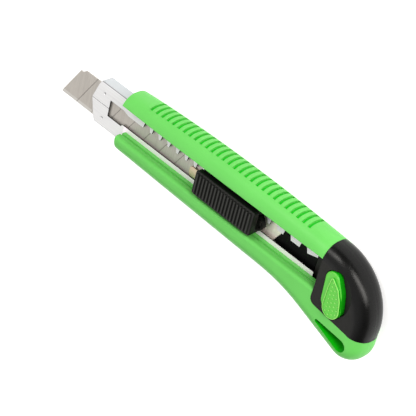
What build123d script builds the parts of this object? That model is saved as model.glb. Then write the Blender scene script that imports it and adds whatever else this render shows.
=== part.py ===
"""Heavy-duty snap-off knife with a sliding blade, a spare-blade magazine and a pull-off end cap.

Frame: X runs along the knife from the blade tip (-X) to the tail (+X), Y points to the spine,
Z points up out of the face that carries the slider. Y = 0 is the middle of the blade channel,
Z = 0 is the flat back that the knife lies on, and X = 0 is 100 mm behind the tip of the blade.
"""
from build123d import *
import os
from math import radians, sin, tan

os.makedirs("parts", exist_ok=True)

# ---------------------------------------------------------------- cutting allowances
FAR = 120.0
OVERCUT = 1.0
FIT = 0.05
PIECE_GAP = 0.3

# ---------------------------------------------------------------- handle
THICKNESS = 17.2
EDGE_RADIUS = 7.8
FRONT_X = -55.8
REAR_X = 95.2
SPINE_CREST = (11.0, 19.0)
SPINE_FRONT_RADIUS = 820.0
SPINE_FRONT_SWEEP = 6.0
SPINE_REAR = (68.0, 17.3)
SPINE_REAR_MIDDLE = (39.5, 18.57)
SHOULDER_MIDDLE = (87.1, 8.9)
SHOULDER_END = (REAR_X, -13.0)
BELLY_FRONT_Y = -14.1
BELLY_SLOPE = -0.0235
TAIL_CORNER_Y = -32.3
TAIL_SLOPE = tan(radians(18.5))
TAIL_RADIUS = 10.0
BELLY_BLEND_RADIUS = 80.0

SLOT_Y = (-4.5, 11.2)
SPINE_RAIL_RADIUS = 0.7
BELLY_RAIL_RADIUS = 1.6
GUIDE_GROOVE_Z = (12.9, 14.1)
GUIDE_GROOVE_DEPTH = 0.75

GRIP_PITCH = 3.4
GRIP_WIDTH = 1.45
GRIP_DEPTH = 0.8
GRIP_Z = (3.8, 13.4)
SPINE_GRIP_START_X = -42.2
SPINE_GRIP_COUNT = 29
BELLY_GRIP_START_X = -35.4
BELLY_GRIP_COUNT = 24

LANYARD_BIG = (86.0, -19.9, 3.0)
LANYARD_SMALL = (72.4, -16.8, 0.9)

# ---------------------------------------------------------------- end cap
CAP_X = 66.1
CAP_LOW_Y = -10.6
CAP_SLOPE = -0.13
CAP_CORNER_RADIUS = 3.0
SEAM = 0.15
CAP_HOLLOW_Z = (4.3, 10.3)
CAP_WELL_Z = 9.0
LATCH_ROOM = 0.4
LATCH_WALL = 0.9

# ---------------------------------------------------------------- steel channel
SHEET = 0.6
CHANNEL_HALF = 10.9
CHANNEL_Z = (4.1, 10.9)
CHANNEL_FOLD_RADIUS = 1.0
CHANNEL_REAR_X = 60.0
NOSE_X = -79.7
NOSE_SLANT = 0.33
NOSE_CORNER = 2.2
WINDOW_FRONT_X = -68.4
WINDOW_STEP_X = (-59.5, -58.5, -56.2)
WINDOW_FRONT_Y = (-3.5, 4.7)
WINDOW_Y = (-2.4, 3.65)
WINDOW_FLARE_X = 54.9
WINDOW_FLARE_Y = 5.3
SEAM_Y = 0.3
NOTCH_PITCH = 5.63
NOTCH_START_X = -45.9
NOTCH_COUNT = 15
REAR_NOTCHES = (40.9, 50.4)
NOTCH_ROOT_WIDTH = 3.0
NOTCH_ROOT_Y = 6.4
NOTCH_FRONT_SLANT = 0.6
NOTCH_REAR_SLANT = 1.0
DIMPLES = ((-72.6, 5.9), (-71.6, -6.3))
DIMPLE_RADIUS = 0.9
DIMPLE_DEPTH = 0.35
CHANNEL_SEAM = 0.16

# ---------------------------------------------------------------- blades
BLADE_HALF = 9.0
BLADE_THICKNESS = 0.5
BLADE_TOP_Z = 9.8
BLADE_EDGE_LENGTH = 100.0
BLADE_TIP_X = -100.0
SEGMENT = 10.1
SCORE_COUNT = 7
SCORE_WIDTH = 0.3
SCORE_DEPTH = 0.12
BEVEL = 1.8
BEVEL_DROP = 0.2
STUB_DROP = 1.5
STUB_LENGTH = 1.1
STUB_SLOPE_DROP = 0.35
BREAK_REACH = 2.5
TAIL_CHAMFER = (0.8, 2.6, 1.4)
BLADE_HOLE = (93.7, -0.7, 3.0)
SPARE_SHIFT = 31.7
SPARE_TOP_Z = 8.7
SPARE_STEP = 0.55
SLANT = tan(radians(60))

# ---------------------------------------------------------------- slider
PAD_X = (-6.0, 29.2)
PAD_Y = (-2.4, 9.4)
PAD_Z = (15.6, 18.6)
PAD_CORNER = 1.2
PAD_TOP_RADIUS = 0.5
PAD_PEG_X = (9.0, 14.0)
PAD_PEG_Y = (0.9, 2.8)
PAD_PEG_Z = 12.2
RIB_COUNT = 18
RIB_HEIGHT = 0.7
RIB_FOOT = 0.84
RIB_CREST = 0.3
RIB_MARGIN = 0.9
SLIDER_X = (-4.5, 27.6)
SLIDER_Y = (-3.9, 10.8)
SLIDER_Z = (11.05, 15.4)
SLIDER_TAIL_X = 31.0
SLIDER_TAIL_Y = 1.9
SLIDER_TAIL_RADIUS = 3.4
SLIDER_TAIL_HEIGHT = 2.2
SLIDER_CORNER = 0.8
TAIL_SLOT = (29.3, 4.0, 1.1)
SLIDER_BOSS_X = (-3.3, 26.5)
EAR_X = (-2.5, 25.6)
EAR_CLEARANCE = 0.15
LOCK_ROOM_X = (-1.3, 3.3)
LOCK_ROOM_Y = (3.0, 5.3)
POCKET_X = (3.0, 24.0)
POCKET_Y = (0.0, 6.0)
POCKET_FLOOR_Z = 12.0
BASE_PLATE_X = (-15.8, 11.0)
BASE_PLATE_Y = (-1.8, 2.9)
BASE_PLATE_Z = (9.9, 10.8)
BASE_PLATE_CORNER = 1.2
SHOE_X = (11.3, 27.0)
SHOE_HALF = 8.2
SHOE_Z = (8.85, 10.2)
SHOE_CORNER = 1.0
RIVET_RADIUS = 0.8
RIVET_SPOTS = ((0.5, 0.55), (25.3, 0.55))
RIVET_Z = (10.0, 13.0)
LOCK_NOTCH = 10
LOCK_TOOTH_X = (0.5, 2.3)
LOCK_TOOTH_Y = (3.45, 4.9)
LEAF_Y = (5.3, 3.6)
LEAF_THICKNESS = 0.4
LEAF_HEIGHT = 2.0
STUD_RADIUS = 2.9
STUD_SHANK_RADIUS = 1.2
STUD_HEIGHT = 0.65

# ---------------------------------------------------------------- magazine
TRAY_X = (-69.0, 58.4)
TRAY_HALF = 10.1
TRAY_FLOOR_Z = (4.85, 5.65)
TRAY_WALL_Z = 8.55
TRAY_WALL_INNER = 9.25
TRAY_BLOCK_Z = 8.45
TRAY_TAB_X = 65.0
TRAY_TAB_HALF = 5.0
TRAY_TAB_Z = (5.2, 6.4)
TRAY_STOP_X = (41.0, 44.0)
TRAY_STOP_Y = (0.9, 3.4)
PIN_SPOTS = ((62.6, -3.0), (62.6, 3.0))
PIN_RADIUS = 0.8
PIN_Z = (4.6, 8.2)
FOLLOWER_X = (-60.0, 28.0)
FOLLOWER_HALF = 8.6
FOLLOWER_Z = (7.0, 7.6)
FOLLOWER_CORNER = 2.0
FOLLOWER_SPRING_X = (-45.0, -15.0, 15.0)
FOLLOWER_SPRING_Z = (5.85, 6.8)
FOLLOWER_SPRING_WIDTH = 6.0
FOLLOWER_SPRING_THICKNESS = 0.3

# ---------------------------------------------------------------- button and latch
BUTTON_TOP_Z = 18.8
BUTTON_STEP_Z = 18.0
BUTTON_ROUNDS = ((74.2, 6.2, 3.7), (76.3, 0.6, 4.6), (75.4, -4.2, 4.1), (77.8, -5.8, 4.6))
PALM_ROUNDS = ((74.9, 6.9, 0.9), (76.5, 2.4, 3.1), (77.35, -1.4, 4.0), (77.8, -5.9, 4.5))
PALM_RIM = 0.55
PALM_RECESS = 0.2
BUTTON_GAP = 0.3
FLANGE_WIDTH = 1.0
FLANGE_Z = (12.4, 13.6)
BUTTON_STEP_RADIUS = 0.6
PALM_EDGE_RADIUS = 0.25
THUMB_DISH = (74.2, -0.2, 11.0)
THUMB_DISH_X = 74.6
THUMB_DISH_Z = 15.4
DOT_PITCH = 2.0
DOT_GRID = (5, 9)
DOT_RADIUS = 0.4
DOT_CENTRE = (77.4, -2.4)
CORE_X = (58.7, 81.8)
CORE_HALF = 9.7
CORE_Z = (4.5, 9.6)
CORE_CLEARANCE = 0.15
ARM_ROOM_Z = 6.3
STEM_HOLE_Z = 7.3
STEM_CLEARANCE = 0.25
TONGUE_Z = (4.9, 8.6)
TONGUE_REAR_X = 61.0
STEM_SPOT = (77.0, -0.2)
STEM_RADIUS = 2.0
STEM_BOTTOM_Z = 9.9
LATCH_X = (61.8, 74.5)
LATCH_Y = (-9.3, -5.7)
LATCH_Z = (8.8, 10.0)
LATCH_LEG = 2.0
LATCH_TOOTH_X = (0.8, 3.0)
LATCH_TOOTH_Z = 12.2
SPRING_RADIUS = 2.8
SPRING_WIRE = 0.2
SPRING_PITCH = 0.85


# ---------------------------------------------------------------- helpers
def box(x, y, z, mode=Mode.ADD):
    """A box between the two values given for each axis, inside the current part."""
    with Locations(((x[0] + x[1]) / 2, (y[0] + y[1]) / 2, (z[0] + z[1]) / 2)):
        Box(x[1] - x[0], y[1] - y[0], z[1] - z[0], mode=mode)


def slab(sketch, z, mode=Mode.ADD):
    """A plan sketch extruded between two heights, inside the current part."""
    extrude(Plane.XY.offset(z[0]) * sketch, amount=z[1] - z[0], mode=mode)


def finish(part, label):
    """Name a finished piece and write it out."""
    part.label = label
    export_step(part, f"parts/{label}.step")
    print(f"{label}: {len(part.solids())} solid(s), {part.volume:.1f} mm3, valid {part.is_valid}")


# ---------------------------------------------------------------- outer shape
def belly_y(x):
    return BELLY_FRONT_Y + BELLY_SLOPE * (x - FRONT_X)


def outline(inset):
    """The whole knife body seen from above, pulled in by the inset."""
    tail_at_zero = TAIL_CORNER_Y + TAIL_SLOPE * REAR_X
    meet_x = (tail_at_zero - belly_y(0)) / (BELLY_SLOPE + TAIL_SLOPE)
    meet = (meet_x, belly_y(meet_x))
    with BuildSketch() as sketch:
        with BuildLine():
            front_arc = JernArc(SPINE_CREST, (-1, 0), SPINE_FRONT_RADIUS, SPINE_FRONT_SWEEP)
            ThreePointArc(SPINE_CREST, SPINE_REAR_MIDDLE, SPINE_REAR)
            ThreePointArc(SPINE_REAR, SHOULDER_MIDDLE, SHOULDER_END)
            front_x = (front_arc @ 1).X
            belly_front = (front_x, belly_y(front_x))
            Polyline(SHOULDER_END, (REAR_X, TAIL_CORNER_Y), meet, belly_front, front_arc @ 1)
        make_face()
        fillet(sketch.vertices().sort_by_distance((REAR_X, TAIL_CORNER_Y))[0], TAIL_RADIUS)
        fillet(sketch.vertices().sort_by_distance(meet)[0], BELLY_BLEND_RADIUS)
        if inset:
            offset(amount=-inset)
    return sketch.sketch


def body_blank(inset=0.0):
    """The rounded bar that the handle and the end cap are both cut from."""
    with BuildPart() as blank:
        extrude(Plane.XY.offset(inset) * outline(inset), amount=THICKNESS - 2 * inset)
        rims = blank.edges().filter_by(Plane.XY)
        front = blank.faces().sort_by(Axis.X)[0].edges()
        fillet([edge for edge in rims if edge not in front], EDGE_RADIUS - inset)
    return blank.part


def cap_region(gap):
    """The part of the plan that belongs to the end cap, pulled in by the gap."""
    low_far = CAP_LOW_Y + CAP_SLOPE * (FAR - CAP_X)
    with BuildSketch() as region:
        with BuildLine():
            Polyline((CAP_X, FAR), (CAP_X, CAP_LOW_Y), (FAR, low_far), (FAR, FAR), close=True)
        make_face()
        fillet(region.vertices().sort_by_distance((CAP_X, CAP_LOW_Y))[0], CAP_CORNER_RADIUS)
        if gap:
            offset(amount=-gap)
    return region.sketch


def grip_cutters(blank, core):
    """Shallow grooves that wrap both rounded sides of the handle."""
    spine_xs = [SPINE_GRIP_START_X + GRIP_PITCH * i for i in range(SPINE_GRIP_COUNT)]
    belly_xs = [BELLY_GRIP_START_X + GRIP_PITCH * i for i in range(BELLY_GRIP_COUNT)]
    with BuildPart() as cutters:
        for x in spine_xs:
            box((x - GRIP_WIDTH / 2, x + GRIP_WIDTH / 2), (SLOT_Y[1], FAR), GRIP_Z)
        for x in belly_xs:
            box((x - GRIP_WIDTH / 2, x + GRIP_WIDTH / 2), (-FAR, SLOT_Y[0] - EDGE_RADIUS / 2), GRIP_Z)
        add(core, mode=Mode.SUBTRACT)
    return cutters.part


def lanyard_slot():
    with BuildSketch() as slot:
        for x, y, radius in (LANYARD_BIG, LANYARD_SMALL):
            with Locations((x, y)):
                Circle(radius)
        make_hull()
    return slot.sketch


def belly_rail_corner():
    """Profile across the knife of what is rounded off the slot's lower top edge."""
    y, z, radius = SLOT_Y[0], THICKNESS, BELLY_RAIL_RADIUS
    bulge = radius * (1 - sin(radians(45)))
    with BuildSketch() as corner:
        with BuildLine():
            ThreePointArc((y, z - radius), (y - bulge, z - bulge), (y - radius, z))
            Polyline(
                (y - radius, z),
                (y - radius, z + OVERCUT),
                (y + OVERCUT, z + OVERCUT),
                (y + OVERCUT, z - radius),
                (y, z - radius),
            )
        make_face()
    return corner.sketch


blank = body_blank()

# ---------------------------------------------------------------- handle body
with BuildPart() as handle_body:
    add(blank)
    box((-FAR, FRONT_X), (-FAR, FAR), (-OVERCUT, FAR), mode=Mode.SUBTRACT)
    slab(cap_region(0), (-OVERCUT, FAR), mode=Mode.SUBTRACT)
    cavity_half = CHANNEL_HALF + FIT
    cavity_z = (CHANNEL_Z[0] - FIT, CHANNEL_Z[1] + FIT)
    open_x = (FRONT_X - OVERCUT, CAP_X + OVERCUT)
    box(open_x, (-cavity_half, cavity_half), cavity_z, mode=Mode.SUBTRACT)
    box(open_x, SLOT_Y, (CHANNEL_Z[1], THICKNESS + OVERCUT), mode=Mode.SUBTRACT)
    groove_y = (SLOT_Y[0] - GUIDE_GROOVE_DEPTH, SLOT_Y[0] + OVERCUT)
    box(open_x, groove_y, GUIDE_GROOVE_Z, mode=Mode.SUBTRACT)
    latch_pocket_x = (LATCH_X[0] - LATCH_ROOM, CAP_X - LATCH_WALL)
    latch_pocket_y = (LATCH_Y[0] - LATCH_ROOM, LATCH_Y[1] + LATCH_ROOM)
    latch_pocket_z = (CHANNEL_Z[1] - OVERCUT, LATCH_TOOTH_Z + LATCH_ROOM)
    box(latch_pocket_x, latch_pocket_y, latch_pocket_z, mode=Mode.SUBTRACT)
    slab(lanyard_slot(), (-OVERCUT, THICKNESS + OVERCUT), mode=Mode.SUBTRACT)
    rail_edges = handle_body.edges().filter_by(Axis.X).filter_by(
        lambda edge: abs(edge.center().Z - THICKNESS) < 0.01
    )
    fillet(rail_edges.sort_by(Axis.Y)[-1], SPINE_RAIL_RADIUS)
    rounding_start = Plane.YZ.offset(FRONT_X - OVERCUT)
    extrude(rounding_start * belly_rail_corner(), amount=CAP_X - FRONT_X + 2 * OVERCUT, mode=Mode.SUBTRACT)
    add(grip_cutters(blank, body_blank(GRIP_DEPTH)), mode=Mode.SUBTRACT)
finish(handle_body.part, "handle_body")

# ---------------------------------------------------------------- blade channel
def channel_plan():
    """Plan of the channel with its shallow pointed nose."""
    side_x = NOSE_X + NOSE_SLANT * (CHANNEL_HALF - NOSE_CORNER)
    corner_x = NOSE_X + NOSE_SLANT * CHANNEL_HALF + NOSE_CORNER / 2
    half = CHANNEL_HALF + OVERCUT
    with BuildSketch() as plan:
        with BuildLine():
            Polyline(
                (NOSE_X, SEAM_Y),
                (side_x, CHANNEL_HALF - NOSE_CORNER),
                (corner_x, half),
                (CHANNEL_REAR_X, half),
                (CHANNEL_REAR_X, -half),
                (corner_x, -half),
                (side_x, NOSE_CORNER - CHANNEL_HALF),
                close=True,
            )
        make_face()
    return plan.sketch


def window_plan():
    """The slot between the folded lips, with the row of lock notches along its spine side."""
    with BuildSketch() as plan:
        with BuildLine():
            Polyline(
                (WINDOW_FRONT_X, WINDOW_FRONT_Y[0]),
                (WINDOW_STEP_X[0], WINDOW_FRONT_Y[0]),
                (WINDOW_STEP_X[1], WINDOW_Y[0]),
                (CHANNEL_REAR_X + OVERCUT, WINDOW_Y[0]),
                (CHANNEL_REAR_X + OVERCUT, WINDOW_FLARE_Y),
                (WINDOW_FLARE_X, WINDOW_Y[1]),
                (WINDOW_STEP_X[2], WINDOW_Y[1]),
                (WINDOW_STEP_X[0], WINDOW_FRONT_Y[1]),
                (WINDOW_FRONT_X, WINDOW_FRONT_Y[1]),
                close=True,
            )
        make_face()
        for x in [NOTCH_START_X + NOTCH_PITCH * i for i in range(NOTCH_COUNT)] + list(REAR_NOTCHES):
            with BuildLine():
                Polyline(
                    (x - NOTCH_FRONT_SLANT, WINDOW_Y[1]),
                    (x, NOTCH_ROOT_Y),
                    (x + NOTCH_ROOT_WIDTH, NOTCH_ROOT_Y),
                    (x + NOTCH_ROOT_WIDTH + NOTCH_REAR_SLANT, WINDOW_Y[1]),
                    close=True,
                )
            make_face()
    return plan.sketch


with BuildPart() as blade_channel:
    box((NOSE_X - OVERCUT, CHANNEL_REAR_X), (-CHANNEL_HALF, CHANNEL_HALF), CHANNEL_Z)
    fillet(blade_channel.edges().filter_by(Axis.X), CHANNEL_FOLD_RADIUS)
    with BuildSketch(Plane.YZ.offset(NOSE_X - 2 * OVERCUT)):
        with Locations((0, sum(CHANNEL_Z) / 2)):
            RectangleRounded(
                2 * (CHANNEL_HALF - SHEET),
                CHANNEL_Z[1] - CHANNEL_Z[0] - 2 * SHEET,
                CHANNEL_FOLD_RADIUS - SHEET,
            )
    extrude(amount=CHANNEL_REAR_X - NOSE_X + 4 * OVERCUT, mode=Mode.SUBTRACT)
    slab(channel_plan(), (0, THICKNESS), mode=Mode.INTERSECT)
    top_sheet_z = (CHANNEL_Z[1] - SHEET - FIT, CHANNEL_Z[1] + OVERCUT)
    slab(window_plan(), top_sheet_z, mode=Mode.SUBTRACT)
    seam_x = (NOSE_X - OVERCUT, WINDOW_FRONT_X + OVERCUT)
    seam_y = (SEAM_Y - CHANNEL_SEAM / 2, SEAM_Y + CHANNEL_SEAM / 2)
    box(seam_x, seam_y, top_sheet_z, mode=Mode.SUBTRACT)
    with Locations([(x, y, CHANNEL_Z[1] + DIMPLE_RADIUS - DIMPLE_DEPTH) for x, y in DIMPLES]):
        Sphere(DIMPLE_RADIUS, mode=Mode.SUBTRACT)
finish(blade_channel.part, "blade_channel")


# ---------------------------------------------------------------- blades
def blade_plan(shift):
    """Parallelogram blade whose cutting edge is at -Y, with the snapped corner left at its tip."""
    tip = BLADE_TIP_X + shift
    rise = 2 * BLADE_HALF / SLANT
    tail = tip + BLADE_EDGE_LENGTH
    stub_x = tip + (2 * BLADE_HALF - STUB_DROP) / SLANT
    stub_y = BLADE_HALF - STUB_DROP
    with BuildSketch() as plan:
        with BuildLine():
            Polyline(
                (tip, -BLADE_HALF),
                (tail, -BLADE_HALF),
                (tail + rise - TAIL_CHAMFER[0], BLADE_HALF - TAIL_CHAMFER[2]),
                (tail + rise - TAIL_CHAMFER[1], BLADE_HALF),
                (tip + rise + BREAK_REACH, BLADE_HALF),
                (stub_x + STUB_LENGTH, stub_y - STUB_SLOPE_DROP),
                (stub_x, stub_y),
                close=True,
            )
        make_face()
        with Locations((BLADE_HOLE[0] + BLADE_TIP_X + shift, BLADE_HOLE[1])):
            Circle(BLADE_HOLE[2], mode=Mode.SUBTRACT)
    return plan.sketch


def make_blade(label, shift, top_z):
    """One snap-off blade with its ground edge and its row of scored break lines."""
    bottom_z = top_z - BLADE_THICKNESS
    tip = BLADE_TIP_X + shift
    rise = 2 * BLADE_HALF / SLANT
    with BuildPart() as blade:
        slab(blade_plan(shift), (bottom_z, top_z))
        with BuildSketch(Plane.YZ.offset(tip - OVERCUT)):
            for face_z, inner_z in ((top_z, top_z - BEVEL_DROP), (bottom_z, bottom_z + BEVEL_DROP)):
                outer_z = 2 * face_z - inner_z
                with BuildLine():
                    Polyline(
                        (-BLADE_HALF - OVERCUT, inner_z),
                        (-BLADE_HALF, inner_z),
                        (-BLADE_HALF + BEVEL, face_z),
                        (-BLADE_HALF + BEVEL, outer_z),
                        (-BLADE_HALF - OVERCUT, outer_z),
                        close=True,
                    )
                make_face()
        extrude(amount=BLADE_EDGE_LENGTH + rise + 2 * OVERCUT, mode=Mode.SUBTRACT)
        for i in range(1, SCORE_COUNT + 1):
            start = tip + SEGMENT * i
            with BuildSketch(Plane.XY.offset(top_z - SCORE_DEPTH)):
                with BuildLine():
                    Polyline(
                        (start, -BLADE_HALF),
                        (start + SCORE_WIDTH, -BLADE_HALF),
                        (start + SCORE_WIDTH + rise, BLADE_HALF),
                        (start + rise, BLADE_HALF),
                        close=True,
                    )
                make_face()
            extrude(amount=OVERCUT, mode=Mode.SUBTRACT)
    finish(blade.part, label)


make_blade("active_blade", 0, BLADE_TOP_Z)
make_blade("spare_blade_upper", SPARE_SHIFT, SPARE_TOP_Z)
make_blade("spare_blade_lower", SPARE_SHIFT, SPARE_TOP_Z - SPARE_STEP)

# ---------------------------------------------------------------- slider
lock_x = NOTCH_START_X + NOTCH_PITCH * LOCK_NOTCH

with BuildPart() as slider_body:
    box(SLIDER_X, SLIDER_Y, SLIDER_Z)
    fillet(slider_body.edges().filter_by(Axis.Z), SLIDER_CORNER)
    with BuildSketch(Plane.XY.offset(SLIDER_Z[0])):
        with Locations((SLIDER_TAIL_X - SLIDER_TAIL_RADIUS, SLIDER_TAIL_Y)):
            Circle(SLIDER_TAIL_RADIUS)
    extrude(amount=SLIDER_TAIL_HEIGHT)
    with BuildSketch(Plane.XY.offset(SLIDER_Z[0])):
        with Locations((TAIL_SLOT[0], SLIDER_TAIL_Y)):
            SlotOverall(TAIL_SLOT[1], TAIL_SLOT[2], rotation=90)
    extrude(amount=SLIDER_TAIL_HEIGHT + OVERCUT, mode=Mode.SUBTRACT)
    box(SLIDER_BOSS_X, BASE_PLATE_Y, (BASE_PLATE_Z[1], SLIDER_Z[0]))
    ear_y = (SLOT_Y[0] - GUIDE_GROOVE_DEPTH + EAR_CLEARANCE, SLIDER_Y[0])
    ear_z = (GUIDE_GROOVE_Z[0] + EAR_CLEARANCE, GUIDE_GROOVE_Z[1] - EAR_CLEARANCE)
    box(EAR_X, ear_y, ear_z)
    box(POCKET_X, POCKET_Y, (POCKET_FLOOR_Z, SLIDER_Z[1] + OVERCUT), mode=Mode.SUBTRACT)
    lock_room_x = (lock_x + LOCK_ROOM_X[0], lock_x + LOCK_ROOM_X[1])
    lock_room_z = (SLIDER_Z[0] - OVERCUT, POCKET_FLOOR_Z + OVERCUT)
    box(lock_room_x, LOCK_ROOM_Y, lock_room_z, mode=Mode.SUBTRACT)
    with Locations([(x, y, SLIDER_Z[0]) for x, y in RIVET_SPOTS]):
        Cylinder(RIVET_RADIUS, 2 * (RIVET_Z[1] - SLIDER_Z[0]), mode=Mode.SUBTRACT)
finish(slider_body.part, "slider_body")

with BuildPart() as thumb_pad:
    box(PAD_X, PAD_Y, PAD_Z)
    fillet(thumb_pad.edges().filter_by(Axis.Z), PAD_CORNER)
    fillet(thumb_pad.faces().sort_by(Axis.Z)[-1].edges(), PAD_TOP_RADIUS)
    rib_pitch = (PAD_X[1] - PAD_X[0] - 2 * RIB_MARGIN) / RIB_COUNT
    foot = rib_pitch * RIB_FOOT / 2
    crest = rib_pitch * RIB_CREST / 2
    foot_z = PAD_Z[1] - 2 * FIT
    crest_z = PAD_Z[1] + RIB_HEIGHT
    with BuildSketch(Plane.XZ.offset(-PAD_Y[1] + RIB_MARGIN)):
        for i in range(RIB_COUNT):
            x = PAD_X[0] + RIB_MARGIN + rib_pitch * (i + 0.5)
            with BuildLine():
                Polyline(
                    (x - foot, foot_z),
                    (x - crest, crest_z),
                    (x + crest, crest_z),
                    (x + foot, foot_z),
                    close=True,
                )
            make_face()
    extrude(amount=PAD_Y[1] - PAD_Y[0] - 2 * RIB_MARGIN)
    box(PAD_PEG_X, PAD_PEG_Y, (PAD_PEG_Z, PAD_Z[0]))
finish(thumb_pad.part, "thumb_pad")

with BuildPart() as base_plate:
    box(BASE_PLATE_X, BASE_PLATE_Y, BASE_PLATE_Z)
    fillet(base_plate.edges().filter_by(Axis.Z).group_by(Axis.X)[0], BASE_PLATE_CORNER)
    with Locations((BLADE_HOLE[0] + BLADE_TIP_X, BLADE_HOLE[1], BASE_PLATE_Z[0])):
        Cylinder(STUD_SHANK_RADIUS, 4 * OVERCUT, mode=Mode.SUBTRACT)
    with Locations((*RIVET_SPOTS[0], BASE_PLATE_Z[1])):
        Cylinder(RIVET_RADIUS, 2 * (BASE_PLATE_Z[1] - RIVET_Z[0]), mode=Mode.SUBTRACT)
finish(base_plate.part, "slider_base_plate")

with BuildPart() as blade_stud:
    stud_levels = (BASE_PLATE_Z[0] - STUD_HEIGHT, BASE_PLATE_Z[0], BASE_PLATE_Z[1])
    for low, high, radius in zip(stud_levels, stud_levels[1:], (STUD_RADIUS, STUD_SHANK_RADIUS)):
        with BuildSketch(Plane.XY.offset(low)):
            with Locations((BLADE_HOLE[0] + BLADE_TIP_X, BLADE_HOLE[1])):
                Circle(radius)
        extrude(amount=high - low)
finish(blade_stud.part, "blade_stud")

with BuildPart() as guide_shoe:
    box(SHOE_X, (-SHOE_HALF, SHOE_HALF), SHOE_Z)
    fillet(guide_shoe.edges().filter_by(Axis.Z), SHOE_CORNER)
    box((SHOE_X[0], SLIDER_BOSS_X[1]), BASE_PLATE_Y, (SHOE_Z[1], BASE_PLATE_Z[1]))
    with Locations((*RIVET_SPOTS[1], BASE_PLATE_Z[1])):
        Cylinder(RIVET_RADIUS, 2 * (BASE_PLATE_Z[1] - RIVET_Z[0]), mode=Mode.SUBTRACT)
finish(guide_shoe.part, "guide_shoe")

with BuildPart() as slider_rivets:
    with BuildSketch(Plane.XY.offset(RIVET_Z[0])):
        with Locations(RIVET_SPOTS):
            Circle(RIVET_RADIUS)
    extrude(amount=RIVET_Z[1] - RIVET_Z[0])
finish(slider_rivets.part, "slider_rivets")

with BuildPart() as lock_spring:
    leaf_x = (POCKET_X[0] + LEAF_THICKNESS, POCKET_X[1] - LEAF_THICKNESS)
    leaf_z = POCKET_FLOOR_Z + 2 * FIT
    tooth_x = (lock_x + LOCK_TOOTH_X[0], lock_x + LOCK_TOOTH_X[1])
    with BuildSketch(Plane.XY.offset(leaf_z)):
        with BuildLine() as leaf_line:
            ThreePointArc((leaf_x[0], LEAF_Y[0]), (sum(tooth_x) / 2, LEAF_Y[1]), (leaf_x[1], LEAF_Y[0]))
        trace(line_width=LEAF_THICKNESS)
    extrude(amount=LEAF_HEIGHT)
    box(tooth_x, LOCK_TOOTH_Y, (CHANNEL_Z[1] - SHEET + 2 * FIT, leaf_z + LEAF_THICKNESS))
finish(lock_spring.part, "lock_spring")

# ---------------------------------------------------------------- magazine
with BuildPart() as magazine_tray:
    box(TRAY_X, (-TRAY_HALF, TRAY_HALF), TRAY_FLOOR_Z)
    for side in (-1, 1):
        wall_y = sorted((side * TRAY_WALL_INNER, side * TRAY_HALF))
        box(TRAY_X, wall_y, (TRAY_FLOOR_Z[1], TRAY_WALL_Z))
    tail_x = BLADE_TIP_X + SPARE_SHIFT + BLADE_EDGE_LENGTH + PIECE_GAP
    with BuildSketch(Plane.XY.offset(TRAY_FLOOR_Z[1])):
        with BuildLine():
            Polyline(
                (tail_x, -BLADE_HALF),
                (tail_x + 2 * BLADE_HALF / SLANT, BLADE_HALF),
                (tail_x + 2 * BLADE_HALF / SLANT, TRAY_WALL_INNER),
                (TRAY_X[1], TRAY_WALL_INNER),
                (TRAY_X[1], -TRAY_WALL_INNER),
                (tail_x, -TRAY_WALL_INNER),
                close=True,
            )
        make_face()
    extrude(amount=TRAY_BLOCK_Z - TRAY_FLOOR_Z[1])
    box(TRAY_STOP_X, TRAY_STOP_Y, (TRAY_BLOCK_Z, SPARE_TOP_Z))
    box((TRAY_X[1], TRAY_TAB_X), (-TRAY_TAB_HALF, TRAY_TAB_HALF), TRAY_TAB_Z)
    with Locations([(x, y, sum(TRAY_TAB_Z) / 2) for x, y in PIN_SPOTS]):
        Cylinder(PIN_RADIUS, 4 * OVERCUT, mode=Mode.SUBTRACT)
finish(magazine_tray.part, "magazine_tray")

with BuildPart() as follower_plate:
    box(FOLLOWER_X, (-FOLLOWER_HALF, FOLLOWER_HALF), FOLLOWER_Z)
    fillet(follower_plate.edges().filter_by(Axis.Z), FOLLOWER_CORNER)
finish(follower_plate.part, "follower_plate")

with BuildPart() as follower_spring:
    foot_z, crest_z = FOLLOWER_SPRING_Z
    front_x, middle_x, rear_x = FOLLOWER_SPRING_X
    with BuildSketch(Plane.XZ.offset(-FOLLOWER_SPRING_WIDTH / 2)):
        with BuildLine():
            ThreePointArc((front_x, foot_z), (middle_x, crest_z), (rear_x, foot_z))
        trace(line_width=FOLLOWER_SPRING_THICKNESS)
    extrude(amount=FOLLOWER_SPRING_WIDTH)
finish(follower_spring.part, "follower_spring")

with BuildPart() as magazine_pins:
    with BuildSketch(Plane.XY.offset(PIN_Z[0])):
        with Locations(PIN_SPOTS):
            Circle(PIN_RADIUS)
    extrude(amount=PIN_Z[1] - PIN_Z[0])
finish(magazine_pins.part, "magazine_pins")


# ---------------------------------------------------------------- end cap and its button
def leaf_plan(rounds, grow):
    """Leaf-shaped outline round a row of circles, grown by the given margin."""
    with BuildSketch() as plan:
        for x, y, radius in rounds:
            with Locations((x, y)):
                Circle(radius + grow)
        make_hull()
    return plan.sketch


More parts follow.
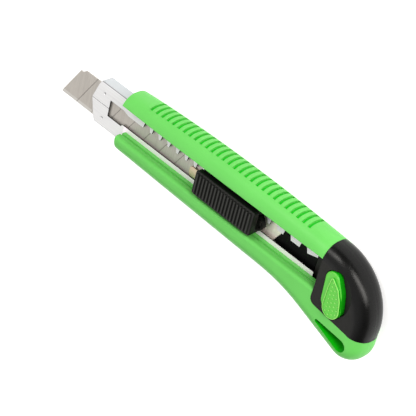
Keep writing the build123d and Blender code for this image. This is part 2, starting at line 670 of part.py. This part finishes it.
with BuildPart() as end_cap:
    add(blank)
    slab(cap_region(SEAM), (-OVERCUT, THICKNESS + OVERCUT), mode=Mode.INTERSECT)
    core_room_x = (CAP_X - OVERCUT, CORE_X[1] + PIECE_GAP)
    core_room_y = (-CORE_HALF - CORE_CLEARANCE, CORE_HALF + CORE_CLEARANCE)
    box(core_room_x, core_room_y, CAP_HOLLOW_Z, mode=Mode.SUBTRACT)
    well_z = (CAP_WELL_Z, FLANGE_Z[1] + 4 * FIT)
    slab(leaf_plan(BUTTON_ROUNDS, FLANGE_WIDTH + LATCH_ROOM), well_z, mode=Mode.SUBTRACT)
    leg_room_x = (LATCH_X[1] - LATCH_LEG - LATCH_ROOM, LATCH_X[1] + LATCH_ROOM)
    leg_room_y = (LATCH_Y[0] - LATCH_ROOM, LATCH_Y[1] + LATCH_ROOM)
    box(leg_room_x, leg_room_y, well_z, mode=Mode.SUBTRACT)
    slab(leaf_plan(BUTTON_ROUNDS, BUTTON_GAP), (CAP_WELL_Z, THICKNESS + OVERCUT), mode=Mode.SUBTRACT)
    with BuildSketch(Plane.XY.offset(THUMB_DISH_Z)) as dish:
        with Locations(THUMB_DISH[:2]):
            Circle(THUMB_DISH[2])
        with Locations((THUMB_DISH_X - FAR / 2, THUMB_DISH[1])):
            Rectangle(FAR, FAR, mode=Mode.SUBTRACT)
    extrude(amount=THICKNESS - THUMB_DISH_Z + OVERCUT, mode=Mode.SUBTRACT)
finish(end_cap.part, "end_cap")

with BuildPart() as cap_core:
    box((TONGUE_REAR_X, CORE_X[1]), (-CORE_HALF, CORE_HALF), CORE_Z)
    box((CORE_X[0], TONGUE_REAR_X), (-CORE_HALF, CORE_HALF), TONGUE_Z)
    arm_room_x = (CORE_X[0] - OVERCUT, LATCH_X[1] + LATCH_ROOM)
    arm_room_y = (-CORE_HALF - OVERCUT, LATCH_Y[1] + LATCH_ROOM)
    box(arm_room_x, arm_room_y, (ARM_ROOM_Z, THICKNESS), mode=Mode.SUBTRACT)
    tab_x = (CORE_X[0] - OVERCUT, TRAY_TAB_X + 2 * FIT)
    tab_half = TRAY_TAB_HALF + 2 * FIT
    tab_z = (TRAY_TAB_Z[0] - 2 * FIT, TRAY_TAB_Z[1] + 2 * FIT)
    box(tab_x, (-tab_half, tab_half), tab_z, mode=Mode.SUBTRACT)
    with BuildSketch(Plane.XY.offset(PIN_Z[0])):
        with Locations(PIN_SPOTS):
            Circle(PIN_RADIUS)
    extrude(amount=PIN_Z[1] - PIN_Z[0], mode=Mode.SUBTRACT)
    with BuildSketch(Plane.XY.offset(STEM_HOLE_Z)):
        with Locations(STEM_SPOT):
            Circle(STEM_RADIUS + STEM_CLEARANCE)
    extrude(amount=CORE_Z[1], mode=Mode.SUBTRACT)
finish(cap_core.part, "cap_core")

with BuildPart() as release_button:
    slab(leaf_plan(BUTTON_ROUNDS, 0), (FLANGE_Z[0], BUTTON_STEP_Z))
    fillet(release_button.faces().sort_by(Axis.Z)[-1].edges(), BUTTON_STEP_RADIUS)
    slab(leaf_plan(PALM_ROUNDS, 0), (FLANGE_Z[0], BUTTON_TOP_Z))
    fillet(release_button.faces().sort_by(Axis.Z)[-1].edges(), PALM_EDGE_RADIUS)
    palm_z = BUTTON_TOP_Z - PALM_RECESS
    slab(leaf_plan(PALM_ROUNDS, -PALM_RIM), (palm_z, BUTTON_TOP_Z + OVERCUT), mode=Mode.SUBTRACT)
    with BuildSketch(Plane.XY.offset(palm_z)) as dots:
        with Locations(DOT_CENTRE):
            with HexLocations(DOT_PITCH / 2, *DOT_GRID):
                Circle(DOT_RADIUS)
        add(leaf_plan(PALM_ROUNDS, -PALM_RIM - PALM_EDGE_RADIUS), mode=Mode.INTERSECT)
    extrude(amount=PALM_RECESS - FIT)
    slab(leaf_plan(BUTTON_ROUNDS, FLANGE_WIDTH), FLANGE_Z)
    with BuildSketch(Plane.XY.offset(STEM_BOTTOM_Z)):
        with Locations(STEM_SPOT):
            Circle(STEM_RADIUS)
    extrude(amount=FLANGE_Z[0] - STEM_BOTTOM_Z)
finish(release_button.part, "release_button")

with BuildPart() as latch_arm:
    box(LATCH_X, LATCH_Y, LATCH_Z)
    box((LATCH_X[1] - LATCH_LEG, LATCH_X[1]), LATCH_Y, (LATCH_Z[0], FLANGE_Z[0]))
    with BuildSketch(Plane.XZ.offset(-LATCH_Y[1])):
        with BuildLine():
            Polyline(
                (LATCH_X[0], LATCH_Z[0]),
                (LATCH_X[0], LATCH_Z[1]),
                (LATCH_X[0] + LATCH_TOOTH_X[0], LATCH_TOOTH_Z),
                (LATCH_X[0] + LATCH_TOOTH_X[1], LATCH_TOOTH_Z),
                (LATCH_X[0] + LATCH_TOOTH_X[1], LATCH_Z[0]),
                close=True,
            )
        make_face()
    extrude(amount=LATCH_Y[1] - LATCH_Y[0])
finish(latch_arm.part, "latch_arm")

with BuildPart() as button_spring:
    spring_height = FLANGE_Z[0] - CORE_Z[1] - 2 * (SPRING_WIRE + FIT)
    spring_plane = Plane(origin=(*STEM_SPOT, CORE_Z[1] + SPRING_WIRE + FIT))
    with BuildLine(spring_plane) as coil:
        Helix(pitch=SPRING_PITCH, height=spring_height, radius=SPRING_RADIUS)
    with BuildSketch(Plane(origin=coil.line @ 0, z_dir=coil.line % 0)):
        Circle(SPRING_WIRE)
    sweep(path=coil.line)
finish(button_spring.part, "button_spring")
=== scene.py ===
"""Looks of the snap-off knife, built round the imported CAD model. Metres, in the CAD frame."""
import math

import bpy
from mathutils import Matrix, Vector


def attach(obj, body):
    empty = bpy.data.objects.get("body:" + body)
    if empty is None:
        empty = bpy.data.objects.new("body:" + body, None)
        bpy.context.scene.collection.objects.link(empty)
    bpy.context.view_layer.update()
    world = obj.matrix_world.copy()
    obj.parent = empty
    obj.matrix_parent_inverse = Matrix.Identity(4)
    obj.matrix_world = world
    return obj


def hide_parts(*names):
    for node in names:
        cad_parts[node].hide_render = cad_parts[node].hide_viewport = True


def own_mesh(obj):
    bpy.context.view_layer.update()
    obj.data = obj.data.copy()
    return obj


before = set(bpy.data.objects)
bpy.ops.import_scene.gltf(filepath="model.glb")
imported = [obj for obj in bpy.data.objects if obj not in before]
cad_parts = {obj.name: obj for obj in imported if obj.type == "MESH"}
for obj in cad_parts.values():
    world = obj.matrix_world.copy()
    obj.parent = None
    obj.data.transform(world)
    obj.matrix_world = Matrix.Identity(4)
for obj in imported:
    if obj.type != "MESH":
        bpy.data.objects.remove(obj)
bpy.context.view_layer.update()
scene = bpy.context.scene
scene.view_settings.view_transform = "Standard"

# ---------------------------------------------------------------- colours, linear red, green and blue
GREEN = (0.132, 0.55, 0.102)
# Painted shade for the floors and walls of the grip grooves.
GROOVE_SHADE_GREEN = (0.002, 0.47, 0.006)
# Painted shade for the walls of the lanyard hole.
HOLE_SHADE_GREEN = (0.003, 0.42, 0.003)
BUTTON_TOP = (0.095, 0.55, 0.038)
# Painted shade for the button's upright walls.
BUTTON_SIDE_SHADE = (0.003, 0.32, 0.002)
BUTTON_CREST = (0.24, 0.70, 0.11)
PAD_TOP = (0.008, 0.008, 0.007)
# Painted shade for the slider pad's upright walls.
PAD_SIDE_SHADE = (0.002, 0.003, 0.002)
PAD_CREST = (0.026, 0.027, 0.024)
CAP_FACE = (0.009, 0.009, 0.008)
CAP_FACE_SHADE = (0.014, 0.014, 0.012)
# Painted shade: the rim's colour, darker than the face's.
CAP_RIM_PAINTED_SHADE = (0.0025, 0.0025, 0.0024)
TRAY_BLACK = (0.002, 0.002, 0.002)
TRAY_SHADE = (0.003, 0.003, 0.003)
SHEET_BRIGHT = (0.75, 0.75, 0.76)
SHEET_SHADE = (0.68, 0.68, 0.695)
# Painted light: the lower lip's colour, lighter and tinted against the green light round it.
LIP_PAINTED_LIGHT = (0.98, 0.86, 0.96)
# Painted shade for the sheared edges round the window.
SHEARED_EDGE_SHADE = (0.006, 0.006, 0.005)
# Painted shade for the dimples in the channel.
DIMPLE_SHADE = (0.16, 0.16, 0.17)
# Painted shade, tinted bluish, for the channel's upright side walls.
SIDE_WALL_SHADE = (0.50, 0.525, 0.55)
# Painted shade for the outer folds of the channel.
FOLD_SHADE = (0.22, 0.22, 0.24)
BLADE_BRIGHT = (0.49, 0.46, 0.425)
BLADE_SHADE = (0.44, 0.41, 0.38)
# Painted light: the spare blades' steel, made lighter and warmer than the active blade where they lie in
# shadow.
SPARE_PAINTED_LIGHT = (0.98, 0.93, 0.83)
SPARE_PAINTED_LIGHT_SHADE = (0.92, 0.87, 0.77)
BLADE_BEVEL = (0.62, 0.60, 0.57)
SCORE_DARK = (0.25, 0.23, 0.21)
# Painted reflection: the steel base plate's warm beige tint.
PLATE_REFLECTION_BRIGHT = (0.62, 0.50, 0.37)
PLATE_REFLECTION_SHADE = (0.56, 0.45, 0.33)
HIDDEN_BRIGHT = (0.62, 0.62, 0.63)
HIDDEN_SHADE = (0.55, 0.55, 0.56)
PAPER_LIGHT = (0.72, 0.72, 0.72)
PAPER_DARK = (0.70, 0.70, 0.70)
WHITE = (1.0, 1.0, 1.0)
LAMP_WHITE = (1.0, 0.975, 0.93)
MOTTLE = 0.94

# ---------------------------------------------------------------- places on the knife
# How far the ends of the colour masks fade, on each side of the end.
SHARP = 0.00005
CRISP = 0.0001
SOFT = 0.0002
GROOVE_Z = (0.0038, 0.0134)
GROOVE_PITCH = 0.0034
GROOVE_WIDTH = 0.00135
GROOVE_ROW_END = 0.0015
# Each row: its first groove, how many there are, and which side of the handle they are on.
GROOVE_ROWS = ((-0.0422, 29, (0.0115, 0.03)), (-0.0354, 24, (-0.03, -0.0085)))
HOLE_X = (0.0710, 0.0893)
HOLE_SLOPE = -0.228
HOLE_MIDDLE_Y = -0.0003
HOLE_HALF_WIDTH = 0.0038
BUTTON_CREST_Z = 0.01873
PAD_CREST_Z = 0.0191
CREST_DEPTH = 0.00008
LIP_X = (-0.0575, 0.062)
LIP_Y = (-0.0062, -0.0020)
LIP_END = 0.0005
WINDOW_HALF_Y = 0.0085
FOLD_TILT = (0.55, 0.82)
FOLD_SOFT = 0.06
DIMPLES = ((-0.0726, 0.0059), (-0.0716, -0.0063))
DIMPLE_RADIUS = 0.0004
DIMPLE_SOFT = 0.00015
BLADE_TIP_X = -0.1
SPARE_TIP_X = -0.0683
BLADE_HALF_WIDTH = 0.009
BREAK_ANGLE = math.radians(60)
SCORE_PITCH = 0.0101
SCORE_WIDTH = 0.0003
SCORE_START = 0.00015
SCORED_LENGTH = (0.005, 0.0757)
BEVEL_Y = (-0.02, -0.0072)

# ---------------------------------------------------------------- surface finishes
# Roughness ranges, from the glossiest spot to the dullest.
GREEN_ROUGHNESS = (0.34, 0.44)
BUTTON_ROUGHNESS = (0.28, 0.38)
PAD_ROUGHNESS = (0.36, 0.46)
TRAY_ROUGHNESS = (0.45, 0.6)
CAP_FACE_ROUGHNESS = (0.46, 0.60)
CAP_RIM_ROUGHNESS = (0.25, 0.32)
SHEET_ROUGHNESS = (0.36, 0.44)
BLADE_ROUGHNESS = (0.40, 0.50)
PLATE_ROUGHNESS = (0.3, 0.4)
GREEN_SPECULAR = 0.2
BUTTON_SPECULAR = 0.5
PAD_SPECULAR = 0.24
TRAY_SPECULAR = 0.1
CAP_SPECULAR = 0.22
SHEET_METALLIC = 0.3
BLADE_METALLIC = 0.6
PLASTIC_WAVE = 0.00006
PLASTIC_GRAIN = 0.00003
PLASTIC_EDGE = 0.00025
METAL_SCRATCH = 0.00001
METAL_EDGE = 0.0001
# Noise scales along X, Y and Z. The lines run along the axis that has the smallest one.
ALONG_CHANNEL = (40, 2400, 2400)
ALONG_PLATE = (200, 2400, 2400)
ACROSS_BLADE = (2600, 90, 2600)


class Nodes:
    """Short calls for building one material's node tree."""

    def __init__(self, name):
        self.material = bpy.data.materials.new(name)
        self.material.use_nodes = True
        self.tree = self.material.node_tree
        self.shader = self.tree.nodes["Principled BSDF"]
        coords = self.add("ShaderNodeTexCoord")
        self.object_coords = coords.outputs["Object"]
        self.normal = coords.outputs["Normal"]

    def add(self, kind, **settings):
        node = self.tree.nodes.new(kind)
        for key, value in settings.items():
            setattr(node, key, value)
        return node

    def link(self, source, target):
        self.tree.links.new(source, target)

    def set(self, name, value):
        """A shader input, from another node, a colour or a number."""
        socket = self.shader.inputs[name]
        if isinstance(value, bpy.types.NodeSocket):
            self.link(value, socket)
        elif isinstance(value, tuple):
            socket.default_value = (*value, 1.0)
        else:
            socket.default_value = value

    def math(self, operation, a, b=0.0):
        node = self.add("ShaderNodeMath", operation=operation)
        for socket, value in zip(node.inputs, (a, b)):
            if isinstance(value, (int, float)):
                socket.default_value = value
            else:
                self.link(value, socket)
        return node.outputs["Value"]

    def mix(self, factor, a, b):
        """A colour between a and b, each of them a colour or another node."""
        node = self.add("ShaderNodeMix", data_type="RGBA")
        self.link(factor, node.inputs["Factor"])
        for socket, value in ((node.inputs["A"], a), (node.inputs["B"], b)):
            if isinstance(value, tuple):
                socket.default_value = (*value, 1.0)
            else:
                self.link(value, socket)
        return node.outputs["Result"]

    def mix_values(self, factor, a, b):
        """A number between the nodes a and b."""
        node = self.add("ShaderNodeMix", data_type="FLOAT")
        for name, value in (("Factor", factor), ("A", a), ("B", b)):
            self.link(value, node.inputs[name])
        return node.outputs["Result"]

    def spread(self, value, low, high, start=0.3, end=0.7):
        """A value mapped from start..end to low..high."""
        node = self.add("ShaderNodeMapRange")
        node.inputs["From Min"].default_value = start
        node.inputs["From Max"].default_value = end
        node.inputs["To Min"].default_value = low
        node.inputs["To Max"].default_value = high
        self.link(value, node.inputs["Value"])
        return node.outputs["Result"]

    def stretched(self, scale):
        """Object coordinates scaled by different amounts along X, Y and Z."""
        mapping = self.add("ShaderNodeMapping")
        mapping.inputs["Scale"].default_value = scale
        self.link(self.object_coords, mapping.inputs["Vector"])
        return mapping.outputs["Vector"]

    def noise(self, scale, detail=3.0, roughness=0.5, vector=None):
        node = self.add("ShaderNodeTexNoise")
        node.inputs["Scale"].default_value = scale
        node.inputs["Detail"].default_value = detail
        node.inputs["Roughness"].default_value = roughness
        self.link(vector or self.object_coords, node.inputs["Vector"])
        return node.outputs["Fac"]

    def bump(self, height, distance, strength, normal):
        node = self.add("ShaderNodeBump")
        node.inputs["Distance"].default_value = distance
        node.inputs["Strength"].default_value = strength
        self.link(height, node.inputs["Height"])
        self.link(normal, node.inputs["Normal"])
        return node.outputs["Normal"]

    def eased_edges(self, radius):
        """Normals rounded over the sharp edges, as every real edge is a little worn."""
        node = self.add("ShaderNodeBevel", samples=4)
        node.inputs["Radius"].default_value = radius
        return node.outputs["Normal"]

    def axis(self, vector, name):
        """One component of a vector socket."""
        node = self.add("ShaderNodeSeparateXYZ")
        self.link(vector, node.inputs["Vector"])
        return node.outputs[name]

    def place(self, name):
        """The object coordinate along one axis."""
        return self.axis(self.object_coords, name)

    def facing(self, name):
        """How far the surface faces along one axis, either way, from 0 to 1."""
        return self.math("ABSOLUTE", self.axis(self.normal, name))

    def inside(self, value, limits, soft):
        """1 between the two limits, 0 outside, with soft ends."""
        low, high = limits
        rise = self.spread(value, 0.0, 1.0, low - soft, low + soft)
        fall = self.spread(value, 1.0, 0.0, high - soft, high + soft)
        return self.math("MULTIPLY", rise, fall)

    def spot(self, x, y, radius, soft):
        """1 within the radius round a point of the plan, 0 outside, with a soft rim."""
        away = (self.math("SUBTRACT", self.place("X"), x), self.math("SUBTRACT", self.place("Y"), y))
        squares = [self.math("POWER", self.math("ABSOLUTE", distance), 2.0) for distance in away]
        distance = self.math("SQRT", self.math("ADD", *squares))
        return self.spread(distance, 1.0, 0.0, radius - soft, radius + soft)

    def stripes(self, value, start, pitch, width, soft):
        """1 on bands of the given width, one band each pitch, the first centred on start."""
        shifted = self.math("SUBTRACT", value, start - pitch / 2)
        phase = self.math("FRACT", self.math("DIVIDE", shifted, pitch))
        half = width / pitch / 2
        return self.inside(phase, (0.5 - half, 0.5 + half), soft / pitch)


def moulded(n, color, roughness, specular):
    """Moulded plastic: fine surface grain, slow waviness and eased edges."""
    n.set("Base Color", color)
    n.set("Roughness", roughness)
    n.set("Specular IOR Level", specular)
    slow = n.bump(n.noise(140.0, 2.0), PLASTIC_WAVE, 0.35, n.eased_edges(PLASTIC_EDGE))
    n.set("Normal", n.bump(n.noise(3200.0, 2.0), PLASTIC_GRAIN, 0.5, slow))
    return n.material


def rubbed(n, low, high):
    """Uneven gloss with faint rubbing marks along the knife."""
    marks = n.noise(1.0, 4.0, 0.6, n.stretched((35.0, 420.0, 420.0)))
    gloss = n.spread(n.noise(180.0, 5.0), low, high)
    return n.math("ADD", gloss, n.spread(marks, 0.0, 0.07, 0.55, 0.75))


def mottled(n, color, shade=None):
    """The colour with its slight flow mottling, which is a little darker unless a shade is given."""
    shade = shade or tuple(MOTTLE * value for value in color)
    return n.mix(n.spread(n.noise(60.0, 4.0), 0.0, 1.0), color, shade)


def handle_green():
    """Green plastic with painted shade deep in the grip grooves and on the walls of the lanyard hole."""
    n = Nodes("green_plastic")
    x = n.place("X")
    y = n.place("Y")
    rows = []
    for start, count, side in GROOVE_ROWS:
        end = start + GROOVE_PITCH * (count - 1)
        length = n.inside(x, (start - GROOVE_ROW_END, end + GROOVE_ROW_END), CRISP)
        area = n.math("MULTIPLY", length, n.inside(y, side, CRISP))
        rows.append(n.math("MULTIPLY", n.stripes(x, start, GROOVE_PITCH, GROOVE_WIDTH, CRISP), area))
    # Mask for the painted shade in the grip grooves.
    groove_shade = n.math("MULTIPLY", n.inside(n.place("Z"), GROOVE_Z, CRISP), n.math("MAXIMUM", *rows))
    middle_y = n.math("ADD", n.math("MULTIPLY", x, HOLE_SLOPE), HOLE_MIDDLE_Y)
    beside = n.inside(n.math("SUBTRACT", y, middle_y), (-HOLE_HALF_WIDTH, HOLE_HALF_WIDTH), CRISP)
    upright = n.spread(n.facing("Z"), 1.0, 0.0, 0.3, 0.6)
    # Mask for the painted shade on the lanyard hole's walls.
    hole_shade = n.math("MULTIPLY", upright, n.math("MULTIPLY", n.inside(x, HOLE_X, CRISP), beside))
    outside = n.mix(groove_shade, mottled(n, GREEN), GROOVE_SHADE_GREEN)
    color = n.mix(hole_shade, outside, HOLE_SHADE_GREEN)
    return moulded(n, color, rubbed(n, *GREEN_ROUGHNESS), GREEN_SPECULAR)


def sided_plastic(name, top_color, side_shade_color, crest_color, crest_z, roughness, specular):
    """Plastic whose upright walls take the side colour as painted shade, with rubbed gloss and a paler colour
    above the given crest height.
    """
    n = Nodes(name)
    up = n.spread(n.axis(n.normal, "Z"), 0.0, 1.0, 0.15, 0.7)
    crest = n.spread(n.place("Z"), 0.0, 1.0, crest_z - CREST_DEPTH, crest_z)
    # Paler colour above the crest height.
    worn = n.mix(crest, mottled(n, top_color), crest_color)
    # The upright walls get the side colour: painted shade.
    return moulded(n, n.mix(up, side_shade_color, worn), rubbed(n, *roughness), specular)


def tray_plastic():
    n = Nodes("tray_plastic")
    color = mottled(n, TRAY_BLACK, TRAY_SHADE)
    return moulded(n, color, rubbed(n, *TRAY_ROUGHNESS), TRAY_SPECULAR)


def cap_black():
    """Black plastic with a matte top face and a polished rounded rim; the rim's darker colour is painted
    shade.
    """
    n = Nodes("black_plastic")
    flat = n.spread(n.axis(n.normal, "Z"), 0.0, 1.0, 0.985, 0.999)
    matte = n.spread(n.noise(900.0, 3.0), *CAP_FACE_ROUGHNESS)
    polished = n.spread(n.noise(180.0, 5.0), *CAP_RIM_ROUGHNESS)
    color = n.mix(flat, CAP_RIM_PAINTED_SHADE, mottled(n, CAP_FACE, CAP_FACE_SHADE))
    return moulded(n, color, n.mix_values(flat, polished, matte), CAP_SPECULAR)


def fine_lines(n, stretch, bright, shade):
    """Fine parallel lines, and a colour that changes a little from line to line."""
    lines = n.noise(1.0, 3.0, 0.6, n.stretched(stretch))
    return lines, n.mix(n.spread(lines, 0.0, 1.0, 0.35, 0.65), bright, shade)


def brushed(n, color, lines, roughness, metallic=1.0):
    """Ground or rolled metal: fine parallel lines, blotchy gloss and a few handling marks."""
    blotch = n.spread(n.noise(90.0, 3.0), -0.03, 0.05)
    marks = n.spread(n.noise(260.0, 6.0, 0.7), 0.0, 0.10, 0.62, 0.72)
    gloss = n.math("ADD", n.spread(lines, *roughness), blotch)
    n.set("Metallic", metallic)
    n.set("Base Color", color)
    n.set("Roughness", n.math("ADD", gloss, marks))
    n.set("Normal", n.bump(lines, METAL_SCRATCH, 0.4, n.eased_edges(METAL_EDGE)))
    return n.material


def plain_metal(name, bright, shade):
    n = Nodes(name)
    lines, color = fine_lines(n, ALONG_PLATE, bright, shade)
    return brushed(n, color, lines, PLATE_ROUGHNESS)


def folded_sheet():
    """Zinc-bright sheet with painted shade along its outer folds, on its side walls, in its dimples and on
    the sheared edges round the window, and painted light on the lower lip.
    """
    n = Nodes("channel_steel")
    y = n.place("Y")
    lines, rolled = fine_lines(n, ALONG_CHANNEL, SHEET_BRIGHT, SHEET_SHADE)
    # Mask for the painted light on the lower lip.
    lip = n.math("MULTIPLY", n.inside(n.place("X"), LIP_X, LIP_END), n.inside(y, LIP_Y, SOFT))
    sheet = n.mix(lip, rolled, LIP_PAINTED_LIGHT)
    # Painted shade on the faces that face along Y.
    side_wall = n.spread(n.facing("Y"), 0.0, 1.0, 0.8, 0.95)
    walled = n.mix(side_wall, sheet, SIDE_WALL_SHADE)
    near_middle = n.inside(y, (-WINDOW_HALF_Y, WINDOW_HALF_Y), SOFT)
    # Painted shade on the bends, found by how far the surface tilts.
    fold = n.inside(n.axis(n.normal, "Z"), FOLD_TILT, FOLD_SOFT)
    fold_shade = n.math("MULTIPLY", fold, n.math("SUBTRACT", 1.0, near_middle))
    folded = n.mix(fold_shade, walled, FOLD_SHADE)
    # Painted shade in the dimples.
    dimples = [n.spot(x, y, DIMPLE_RADIUS, DIMPLE_SOFT) for x, y in DIMPLES]
    dimpled = n.mix(n.math("MAXIMUM", *dimples), folded, DIMPLE_SHADE)
    # Painted shade on the upright sheared edges near the middle.
    upright = n.spread(n.facing("Z"), 1.0, 0.0, 0.3, 0.7)
    color = n.mix(n.math("MULTIPLY", upright, near_middle), dimpled, SHEARED_EDGE_SHADE)
    return brushed(n, color, lines, SHEET_ROUGHNESS, SHEET_METALLIC)


def scored_blade(name, tip, bright, shade):
    """Ground blade steel with a dark score line across each snap-off segment."""
    n = Nodes(name)
    lines, steel = fine_lines(n, ACROSS_BLADE, bright, shade)
    y = n.place("Y")
    lean = n.math("DIVIDE", n.math("ADD", y, BLADE_HALF_WIDTH), math.tan(BREAK_ANGLE))
    slanted = n.math("SUBTRACT", n.place("X"), lean)
    scores = n.stripes(slanted, tip + SCORE_START, SCORE_PITCH, SCORE_WIDTH, SHARP)
    scored = n.inside(slanted, tuple(tip + length for length in SCORED_LENGTH), CRISP)
    ground = n.mix(n.inside(y, BEVEL_Y, SHARP), steel, BLADE_BEVEL)
    color = n.mix(n.math("MULTIPLY", scores, scored), ground, SCORE_DARK)
    return brushed(n, color, lines, BLADE_ROUGHNESS, BLADE_METALLIC)


black = cap_black()
pad_black = sided_plastic(
    "pad_plastic", PAD_TOP, PAD_SIDE_SHADE, PAD_CREST, PAD_CREST_Z, PAD_ROUGHNESS, PAD_SPECULAR
)
hidden_steel = plain_metal("plain_steel", HIDDEN_BRIGHT, HIDDEN_SHADE)
button_green = sided_plastic(
    "button_plastic", BUTTON_TOP, BUTTON_SIDE_SHADE, BUTTON_CREST, BUTTON_CREST_Z, BUTTON_ROUGHNESS, BUTTON_SPECULAR
)
finishes = {
    "handle_body": handle_green(),
    "release_button": button_green,
    "end_cap": black,
    "cap_core": black,
    "slider_body": pad_black,
    "thumb_pad": pad_black,
    "guide_shoe": black,
    "magazine_tray": tray_plastic(),
    "blade_channel": folded_sheet(),
    "active_blade": scored_blade("blade_steel", BLADE_TIP_X, BLADE_BRIGHT, BLADE_SHADE),
    # The spare blades take the lighter steel colours: painted light.
    "spare_blade_upper": scored_blade("spare_upper_steel", SPARE_TIP_X, SPARE_PAINTED_LIGHT, SPARE_PAINTED_LIGHT_SHADE),
    "spare_blade_lower": scored_blade("spare_lower_steel", SPARE_TIP_X, SPARE_PAINTED_LIGHT, SPARE_PAINTED_LIGHT_SHADE),
    "slider_base_plate": plain_metal("warm_plate", PLATE_REFLECTION_BRIGHT, PLATE_REFLECTION_SHADE),
}
for name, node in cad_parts.items():
    node.material_slots[0].material = finishes.get(name, hidden_steel)

# ---------------------------------------------------------------- springs, copied into their own meshes on the end cap
# Each spring: the joint that presses it, and how much of its height is left when fully pressed.
PRESSED_SPRINGS = (("button_spring", "button_press", 0.25), ("follower_spring", "follower_press", 0.58))

for name, joint, keep in PRESSED_SPRINGS:
    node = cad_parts[name]
    spring = bpy.data.objects.new(name + "_flexing", node.data.copy())
    scene.collection.objects.link(spring)
    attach(spring, "end_cap")
    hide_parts(name)
    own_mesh(spring)

# ---------------------------------------------------------------- camera, fitted to the knife's outline
CAMERA_PLACE = (0.37598, 0.41397, 0.50771)
CAMERA_RIGHT = (0.68374, 0.21104, -0.69855)
CAMERA_UP = (-0.53183, 0.79958, -0.27899)
CAMERA_BACK = (0.49966, 0.56226, 0.65894)
SENSOR_WIDTH_MM = 36.0
LENS_MM = 152.12
CLIP_NEAR = 0.01
CLIP_FAR = 20.0


def placed(right, up, back, place):
    """The matrix of an object with these axes at this place."""
    axes = Matrix((Vector(right), Vector(up), Vector(back))).transposed()
    return Matrix.Translation(place) @ axes.to_4x4()


camera_data = bpy.data.cameras.new("camera")
camera_data.sensor_width = SENSOR_WIDTH_MM
camera_data.lens = LENS_MM
camera_data.clip_start = CLIP_NEAR
camera_data.clip_end = CLIP_FAR
camera = bpy.data.objects.new("camera", camera_data)
camera.matrix_world = placed(CAMERA_RIGHT, CAMERA_UP, CAMERA_BACK, CAMERA_PLACE)
scene.collection.objects.link(camera)
scene.camera = camera

# ---------------------------------------------------------------- floor
FLOOR_HALF = 3.0
FLOOR_CORNERS = ((-1, -1), (1, -1), (1, 1), (-1, 1))
PAPER_GLOW = 0.6

floor_mesh = bpy.data.meshes.new("floor")
floor_mesh.from_pydata([(x * FLOOR_HALF, y * FLOOR_HALF, 0.0) for x, y in FLOOR_CORNERS], [], [(0, 1, 2, 3)])
floor = bpy.data.objects.new("floor", floor_mesh)
scene.collection.objects.link(floor)
paper = Nodes("paper")
paper.set("Base Color", paper.mix(paper.noise(6.0), PAPER_LIGHT, PAPER_DARK))
paper.set("Roughness", 0.9)
paper.set("Specular IOR Level", 0.1)
paper.set("Emission Color", WHITE)
paper.set("Emission Strength", PAPER_GLOW)
floor_mesh.materials.append(paper.material)

# ---------------------------------------------------------------- lights and sky
LIT_POINT = Vector((0.02, 0.0, 0.01))
# Each strip runs between two directions seen from the knife, at a distance, with a height and a radiance.
SOFT_BOXES = (
    ("key", (-0.42, 0.68, 0.62), (-0.04, 0.77, 0.66), 1.0, 0.26, 11.0),
    ("rim", (0.34, 0.80, 0.48), (0.94, 0.28, 0.17), 1.0, 0.28, 11.5),
    ("fill", (-0.9, 0.1, 0.66), (0.1, -0.9, 0.66), 1.2, 1.4, 0.75),
)
SKY_Z = (0.5, 0.9)
SKY_STRENGTH = (0.12, 0.90)

for name, start, end, distance, height, radiance in SOFT_BOXES:
    start = Vector(start).normalized()
    end = Vector(end).normalized()
    middle = (start + end).normalized()
    along = (end - start).normalized()
    length = (end - start).length * distance
    light_data = bpy.data.lights.new(name, "AREA")
    light_data.shape = "RECTANGLE"
    light_data.size = length
    light_data.size_y = height
    light_data.energy = radiance * math.pi * length * height
    light_data.color = LAMP_WHITE
    light = bpy.data.objects.new(name, light_data)
    light.matrix_world = placed(along, middle.cross(along), middle, LIT_POINT + middle * distance)
    scene.collection.objects.link(light)

world = bpy.data.worlds.new("world")
world.use_nodes = True
sky = world.node_tree
sky_coords = sky.nodes.new("ShaderNodeTexCoord")
sky_axes = sky.nodes.new("ShaderNodeSeparateXYZ")
sky_height = sky.nodes.new("ShaderNodeMapRange")
sky_height.inputs["From Min"].default_value = SKY_Z[0]
sky_height.inputs["From Max"].default_value = SKY_Z[1]
sky_height.inputs["To Min"].default_value = SKY_STRENGTH[0]
sky_height.inputs["To Max"].default_value = SKY_STRENGTH[1]
sky.links.new(sky_coords.outputs["Generated"], sky_axes.inputs["Vector"])
sky.links.new(sky_axes.outputs["Z"], sky_height.inputs["Value"])
sky.links.new(sky_height.outputs["Result"], sky.nodes["Background"].inputs["Strength"])
sky.nodes["Background"].inputs["Color"].default_value = (*WHITE, 1.0)
scene.world = world
